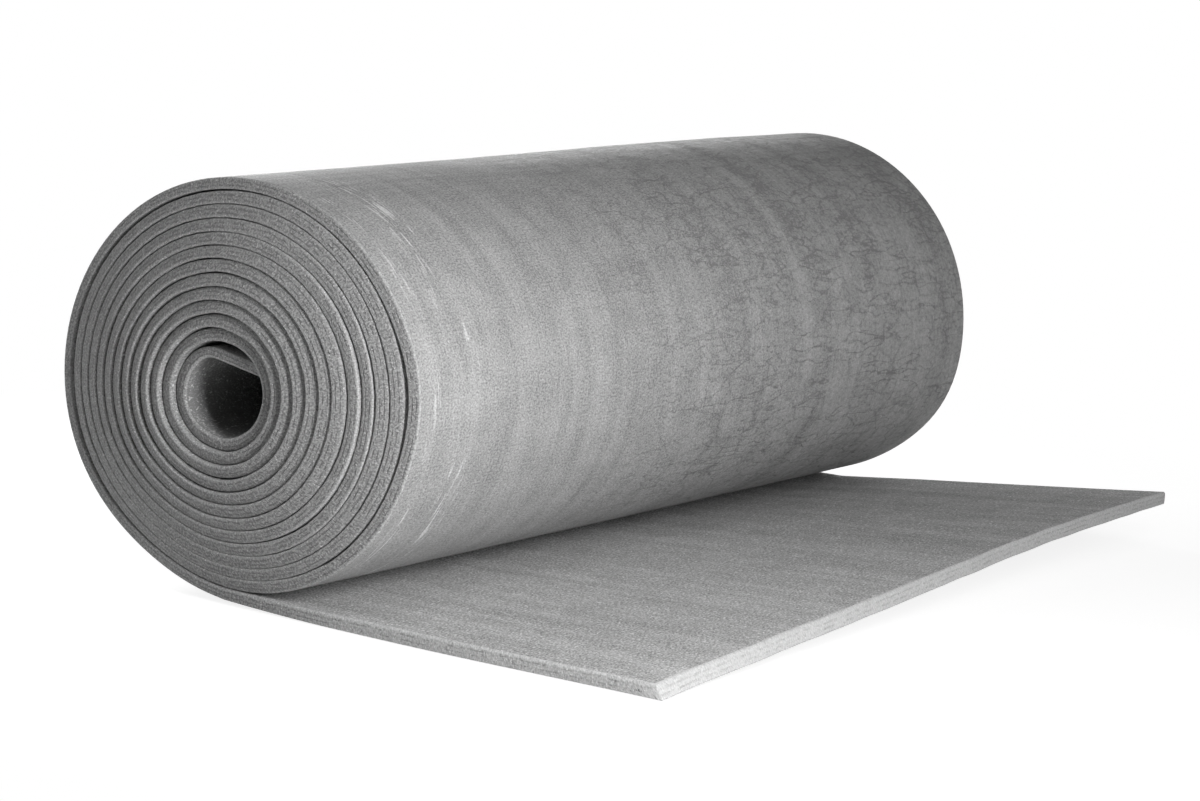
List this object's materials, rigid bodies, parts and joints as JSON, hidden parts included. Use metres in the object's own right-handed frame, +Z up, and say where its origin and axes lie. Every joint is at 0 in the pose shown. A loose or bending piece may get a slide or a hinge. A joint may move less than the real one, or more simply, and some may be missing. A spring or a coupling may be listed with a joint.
{
  "type": "foam insulation roll",
  "caption": "Grey closed-cell foam sheet wound into a coreless roll lying on its side, its loose outer end unrolled on the floor in front; stock for thermal and impact-sound insulation.",
  "frame": {"origin": "on the floor, at the middle of the ground that the roll and its loose end cover", "axes": "+X along the roll, +Z up, and the loose end runs out towards -Y"},
  "size_m": [1.03, 0.6073, 0.3648],
  "materials": {
    "foam": "matt closed-cell polyethylene foam with a smooth calendered skin and finely pored cut edges"
  },
  "bodies": {
    "root": {"foam_roll": "foam"}
  },
  "joints": []
}
